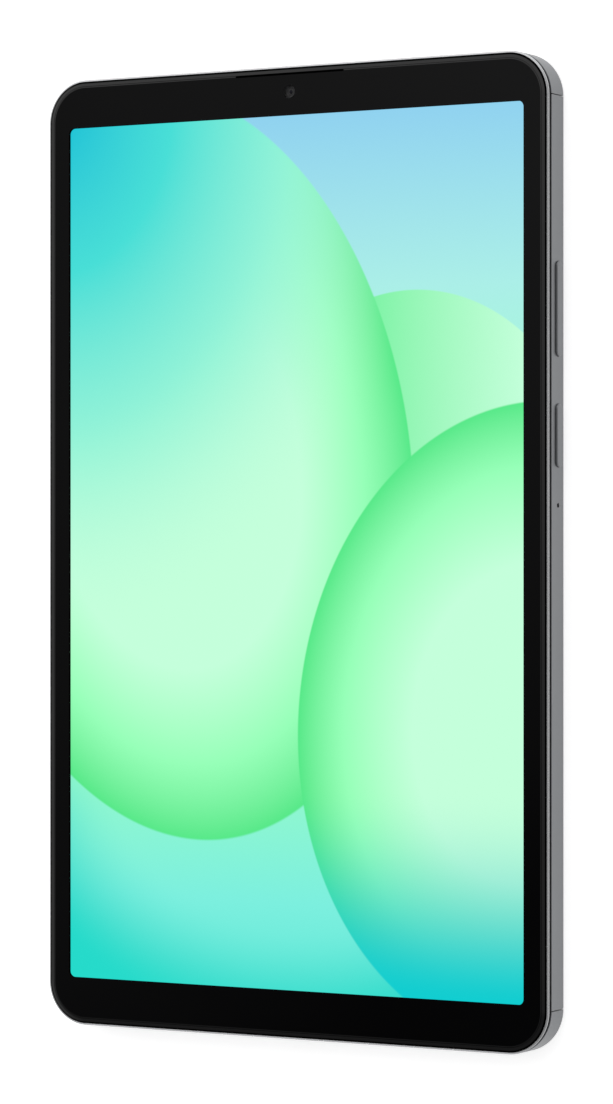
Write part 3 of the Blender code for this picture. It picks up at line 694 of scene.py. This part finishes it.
# Keys
# A long rocker for volume and a short power key, each a bar with round ends that stands
# half a millimetre proud of the wall, with a wider flange inside that keeps it in.
key_metal = anodised("key_metal", shell_grey)
for key, body in (("volume_key", "volume_rocker"), ("power_key", "power_button")):
    low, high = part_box(key)
    half = (high.y - low.y) / 2 - KEY_FLANGE
    face = high.x
    flange_face = BODY_HALF[0] - WALL - 0.0004
    profile = softened(
        [
            (-KEY_HALF + 0.0002, face, 0),
            (0.0, face, 0.0003),
            (0.0, flange_face, 0),
            (0.00035, flange_face, 0),
            (0.00035, flange_face - 0.0005, 0),
            (-KEY_HALF + 0.0002, flange_face - 0.0005, 0),
        ]
    )
    bar = carried(
        key + "_bar", half, KEY_HALF, KEY_HALF - 0.00001, profile, "x",
        ((low.y + high.y) / 2, SIDE_Z),
    )
    placed(bar, key_metal, key, body)


# Card tray
# An anodised face, level with the wall, on a moulded frame with pockets for the two cards.
# It slides out of a folded steel socket when a pin pushes the rod and the lever turns.
def rolled_steel(name, tone=0.55, along=(1.0, 0.05, 1.0)):
    """Rolled sheet: fine scratches along the sheet and a faint cloud over them."""
    finish = Finish(name, metallic=1.0)
    scratches = finish.noise(0.0003, 3.0, along)
    low, high = tone * 0.88, tone * 1.06
    finish.feed(base_color=finish.mix(scratches, (low, low, low), (high, high, high * 1.01)))
    finish.feed(roughness=finish.noise(0.006) * 0.12 + scratches * 0.10 + 0.22)
    finish.bump(scratches, 0.000002)
    return finish


tray_face = anodised("tray_face", shell_grey)
x, y, z = tray_face.axes()
frame_share = x.ramp(tray_low.x + 0.0014, tray_low.x + 0.0015)
tray_black = tray_face.mix(tray_face.noise(0.001), (0.012, 0.012, 0.013), (0.022, 0.022, 0.024))
tray_grey = tray_face.mix(tray_face.noise(0.03, 3.0), (0.225, 0.231, 0.241), (0.248, 0.255, 0.267))
tray_face.feed(base_color=tray_face.mix(frame_share, tray_grey, tray_black))
tray_face.feed(metallic=0.9 - frame_share * 0.9)
clad(tray_face, "card_tray")
clad(rolled_steel("socket_steel", along=(0.05, 1.0, 1.0)), "card_socket", "eject_rod")
clad(rolled_steel("lever_steel", 0.5), "eject_lever")


# Power and data port
# A drawn steel shell with a rolled mouth round a moulded tongue, whose gold contacts lie in
# a row on both faces. It is soldered on a small board of its own.
port_low, port_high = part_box("usb_shell")
port_middle = ((port_low.z + port_high.z) / 2, (port_low.x + port_high.x) / 2)
port_half = ((port_high.z - port_low.z) / 2, (port_high.x - port_low.x) / 2)
mouth, rear = port_low.y, port_high.y
port_profile = softened(
    [
        (-0.0012, rear - 0.0004, 0),
        (-0.0003, rear - 0.0004, 0),
        (-0.0003, mouth, 0.00014),
        (0.0, mouth, 0.00014),
        (0.0, rear, 0.0002),
        (-0.0012, rear, 0),
    ]
)
port_shell = carried(
    "port_shell", *port_half, port_half[0] * 0.96, port_profile, "y", port_middle
)
placed(port_shell, rolled_steel("port_steel", 0.42), "usb_shell")

tongue_low, tongue_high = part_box("usb_tongue")
tongue_half = ((tongue_high.z - tongue_low.z) / 2, (tongue_high.x - tongue_low.x) / 2)
tongue_profile = softened(
    [
        (-0.0003, tongue_low.y, 0),
        (0.0, tongue_low.y, 0.00015),
        (0.0, tongue_high.y, 0),
        (-0.0003, tongue_high.y, 0),
    ]
)
tongue = carried(
    "port_tongue", *tongue_half, tongue_half[0] * 0.95, tongue_profile, "y", port_middle
)
contacts = moulded("tongue_plastic", (0.010, 0.010, 0.011), (0.020, 0.020, 0.021), 0.0001)
x, y, z = contacts.axes()
in_row = (x / 0.0005 + 0.5).math("FRACT").within(0.26, 0.74, 0.04)
in_row = in_row * x.math("ABSOLUTE").ramp(0.00302, 0.00298)
in_row = in_row * y.within(tongue_low.y + 0.0006, tongue_low.y + 0.0036, 0.00003)
gold = contacts.mix(contacts.noise(0.0005), (0.75, 0.50, 0.17), (0.86, 0.60, 0.24))
black = contacts.mix(contacts.noise(0.002), (0.010, 0.010, 0.011), (0.020, 0.020, 0.021))
contacts.feed(base_color=contacts.mix(in_row, black, gold), metallic=in_row)
contacts.feed(roughness=0.5 - in_row * 0.25)
placed(tongue, contacts, "usb_tongue")


# Headphone socket
# A moulded block with a round bore from the top end and spring contacts along its inside.
jack = moulded("jack_plastic", (0.010, 0.010, 0.011), (0.018, 0.018, 0.019))
x, y, z = jack.axes()
jack_low, jack_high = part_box("headphone_jack")
spring = (y - jack_low.y).repeated(0.0035).within(0.20, 0.42, 0.05)
jack_middle = ((jack_low.x + jack_high.x) / 2, 0.002975)
spring = spring * from_point(x, z, jack_middle).ramp(0.0020, 0.0018)
spring = spring * y.ramp(jack_high.y - 0.0012, jack_high.y - 0.0014)
jack_black = jack.mix(jack.noise(0.003), (0.010, 0.010, 0.011), (0.018, 0.018, 0.019))
jack.feed(base_color=jack.mix(spring, jack_black, (0.78, 0.56, 0.22)), metallic=spring)
clad(jack, "headphone_jack")


# Loudspeakers, receiver and microphones
# Moulded boxes, with a woven wire mesh behind each row of slots that keeps dust out. A narrow
# strip of black mesh lies under the slit in the glass.
clad(
    moulded("speaker_plastic", (0.012, 0.012, 0.013), (0.022, 0.022, 0.023)),
    "speaker_top", "speaker_bottom", "receiver", "side_microphone",
)


def woven(name, dark, light, pitch, across, metallic):
    """Plain-woven wire: threads both ways, each rising where it passes over another. The colour
    follows that rise, darker low in the weave, as painted shade.
    """
    finish = Finish(name, metallic=metallic, roughness=0.4)
    parts = dict(zip("xyz", finish.axes()))
    first, second = (parts[letter] * (2 * math.pi / pitch) for letter in across)
    over = (first.math("SINE") * second.math("COSINE")) * 0.5 + 0.5
    threads = first.math("COSINE").math("ABSOLUTE") * second.math("SINE").math("ABSOLUTE")
    height = over * 0.5 + threads * 0.5
    # Painted shade: the colour darkens where the threads lie low in the weave.
    finish.feed(base_color=finish.mix(height, dark, light))
    finish.bump(height, 0.00002)
    return finish


wire = woven("wire_mesh", (0.004, 0.004, 0.004), (0.10, 0.10, 0.10), 0.00024, "xz", 0.6)
clad(wire, "speaker_top_mesh", "speaker_bottom_mesh")
cloth_mesh = woven("slit_mesh", (0.0005, 0.0005, 0.0005), (0.003, 0.003, 0.003), 0.00016, "xy", 0.0)
cloth_mesh.feed(specular_ior_level=0.0, roughness=0.9)
clad(cloth_mesh, "receiver_mesh")


# Rear camera
# A turned metal ring holds a coated window level with the back. Behind it the lens barrel
# moves in its housing to focus.
ring_metal = Finish("ring_metal", metallic=1.0)
x, y, z = ring_metal.axes()
turning = (from_point(x, y, window_middle) / 0.00006).math("SINE") * 0.5 + 0.5
ring_metal.feed(base_color=ring_metal.mix(turning, (0.30, 0.31, 0.33), (0.36, 0.37, 0.39)))
ring_metal.feed(roughness=turning * 0.06 + 0.18)
ring_metal.bump(turning, 0.000001)
clad(ring_metal, "rear_camera_ring")

window = Finish("coated_window", roughness=0.02)
x, y, z = window.axes()
outwards = from_point(x, y, window_middle)
inked = outwards.ramp(0.0019, 0.0020)
window.feed(base_color=window.mix(inked, (0.010, 0.008, 0.020), (0.003, 0.003, 0.003)))
window.feed(alpha=inked * 0.55 + 0.45)
clad(window, "rear_camera_window")


def lens_black(name, middle, radius, dark=(0.020, 0.020, 0.022), light=(0.045, 0.045, 0.048)):
    """Anodised black barrel with fine rings and a coated glass middle of that radius."""
    finish = Finish(name)
    x, y, z = finish.axes()
    outwards = from_point(x, y, middle)
    rings = (outwards / 0.00007).math("SINE") * 0.5 + 0.5
    barrel = finish.mix(rings, dark, light)
    coating = finish.mix(outwards / radius, (0.030, 0.022, 0.055), (0.012, 0.018, 0.022))
    on_barrel = outwards.ramp(radius - 0.00004, radius + 0.00004)
    finish.feed(base_color=finish.mix(on_barrel, coating, barrel), roughness=on_barrel * 0.3 + 0.05)
    return finish


clad(lens_black("rear_lens", window_middle, 0.0013), "rear_camera_lens")
camera_black = moulded("camera_plastic", (0.008, 0.008, 0.009), (0.016, 0.016, 0.017))
clad(camera_black, "rear_camera_housing", "front_camera_housing")


# Front camera
# A small lens in the middle of a dark grey collar, in its housing under the clear spot in
# the top border.
COLLAR_RADIUS = 0.0019
COLLAR_OVERHANG = 0.0005
collar_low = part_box("front_camera_housing")[1].z + 0.00002
collar_top = collar_low + 0.00004
hub = 0.00002 - COLLAR_RADIUS
lens_profile = softened(
    [
        (hub, collar_top - 0.00003, 0),
        (-0.00152, collar_top - 0.00005, 0.0003),
        (-0.00140, collar_top - 0.00012, 0.00004),
        (-0.00126, collar_top, 0.00004),
        (0.0, collar_top, 0.00003),
        (0.0, collar_low, 0),
        (-COLLAR_OVERHANG, collar_low, 0),
        (-COLLAR_OVERHANG, lens_low.z, 0),
        (hub, lens_low.z, 0),
    ]
)
front_lens = carried(
    "front_lens", COLLAR_RADIUS, COLLAR_RADIUS, COLLAR_RADIUS - 0.00001,
    lens_profile, "z", lens_middle,
)
collar_grey = lens_black(
    "front_lens_grey", lens_middle, 0.0004, (0.085, 0.085, 0.088), (0.11, 0.11, 0.113)
)
placed(front_lens, collar_grey, "front_camera_lens")


# Display module
# A light guide and its row of lamps lie in a shallow steel tray behind the picture cell, and
# an amber ribbon runs from the cell's bottom edge to the main board.
guide = Finish("light_guide_film", roughness=0.35)
dots = guide.cells(0.0009).ramp(0.30, 0.22)
guide.feed(base_color=guide.mix(dots, (0.78, 0.80, 0.80), (0.92, 0.93, 0.93)))
clad(guide, "light_guide")

lamps = Finish("lamp_strip", roughness=0.45)
x, y, z = lamps.axes()
lamp = x.repeated(0.0062).within(0.25, 0.75, 0.02)
lamps.feed(base_color=lamps.mix(lamp, (0.80, 0.80, 0.78), (0.85, 0.72, 0.22)))
clad(lamps, "led_strip")
clad(rolled_steel("tray_steel", 0.6), "backlight_tray")


def ribbon(name, across, pitch=0.0008):
    """Amber polyimide with parallel copper tracks showing through it."""
    finish = Finish(name, roughness=0.35)
    parts = dict(zip("xyz", finish.axes()))
    track = parts[across].repeated(pitch).within(0.30, 0.72, 0.06)
    amber = finish.mix(finish.noise(0.01), (0.20, 0.075, 0.012), (0.28, 0.11, 0.02))
    finish.feed(base_color=finish.mix(track, amber, (0.42, 0.20, 0.05)))
    finish.bump(track, 0.00001)
    return finish


clad(ribbon("ribbon_along_y", "x"), "display_flex", "battery_flex", "interconnect_flex")
clad(ribbon("ribbon_along_z", "z"), "key_flex")


# Battery
# A flat lithium cell in a laminated foil pouch, held by two pull-out tapes, with a small
# protection board at its top edge.
pouch = Finish("foil_pouch", metallic=0.35)
x, y, z = pouch.axes()
creases = pouch.noise(0.004, 4.0)
label = outside_of(x, y + 0.007, (0.044, 0.046), 0.001).ramp(0.0001, -0.0001)
foil = pouch.mix(creases, (0.10, 0.10, 0.105), (0.16, 0.16, 0.165))
sticker = pouch.mix(pouch.noise(0.02), (0.018, 0.018, 0.019), (0.028, 0.028, 0.030))
pouch.feed(base_color=pouch.mix(label, foil, sticker), roughness=label * 0.2 + 0.30)
pouch.bump(creases, 0.00004)
clad(pouch, "battery_cell")

tape = Finish("stretch_tape", roughness=0.5)
tape_grain = tape.noise(0.0008, 3.0, (1.0, 0.1, 1.0))
tape.feed(base_color=tape.mix(tape_grain, (0.72, 0.72, 0.70), (0.86, 0.86, 0.84)))
tape.bump(tape_grain, 0.000005)
clad(tape, "battery_tape_left", "battery_tape_right")


# Circuit boards
# Green boards with gold pads carry black chips under tinned steel cans, and moulded
# connectors for the ribbons. Small metal switches stand behind the keys.
board = Finish("solder_mask", roughness=0.38)
x, y, z = board.axes()
tracks = (x + y * 0.5).repeated(0.0012).within(0.35, 0.60, 0.05)
tracks = tracks * board.noise(0.006).ramp(0.45, 0.55)
vias = board.cells(0.0016).ramp(0.16, 0.12)
mask = board.mix(board.noise(0.02), (0.010, 0.060, 0.030), (0.014, 0.080, 0.040))
mask = board.mix(tracks, mask, (0.020, 0.115, 0.055))
board.feed(base_color=board.mix(vias, mask, (0.72, 0.50, 0.20)), metallic=vias)
board.bump(tracks, 0.00002)
clad(board, "main_board", "usb_board", "battery_circuit_board")

chip = Finish("chip_resin", roughness=0.55)
speckle = chip.noise(0.00025, 3.0)
chip.feed(base_color=chip.mix(speckle, (0.014, 0.014, 0.015), (0.028, 0.028, 0.030)))
chip.bump(speckle, 0.000005)
clad(chip, "processor", "memory_chip")

pins = moulded("connector_plastic", (0.014, 0.014, 0.015), (0.026, 0.026, 0.028))
x, y, z = pins.axes()
pin = x.repeated(0.0004).within(0.25, 0.70, 0.05)
housing_tone = pins.mix(pins.noise(0.001), (0.014, 0.014, 0.015), (0.026, 0.026, 0.028))
pins.feed(base_color=pins.mix(pin, housing_tone, (0.74, 0.52, 0.20)), metallic=pin)
clad(pins, "display_connector", "battery_connector", "interconnect_connector")

clad(rolled_steel("can_steel", 0.62, (0.05, 1.0, 1.0)), "processor_shield", "power_shield")
clad(
    rolled_steel("switch_steel", 0.58, (1.0, 1.0, 0.05)),
    "volume_up_switch", "volume_down_switch", "power_switch",
)


# Screws
# Six small dark-plated screws, driven from the back through the boards into the mid frame.
plated = Finish("dark_plating", metallic=1.0)
wear = plated.noise(0.0006, 3.0)
plated.feed(base_color=plated.mix(wear, (0.10, 0.10, 0.11), (0.20, 0.20, 0.21)))
plated.feed(roughness=wear * 0.2 + 0.25)
clad(plated, *(f"board_screw_{number}" for number in range(1, 7)))
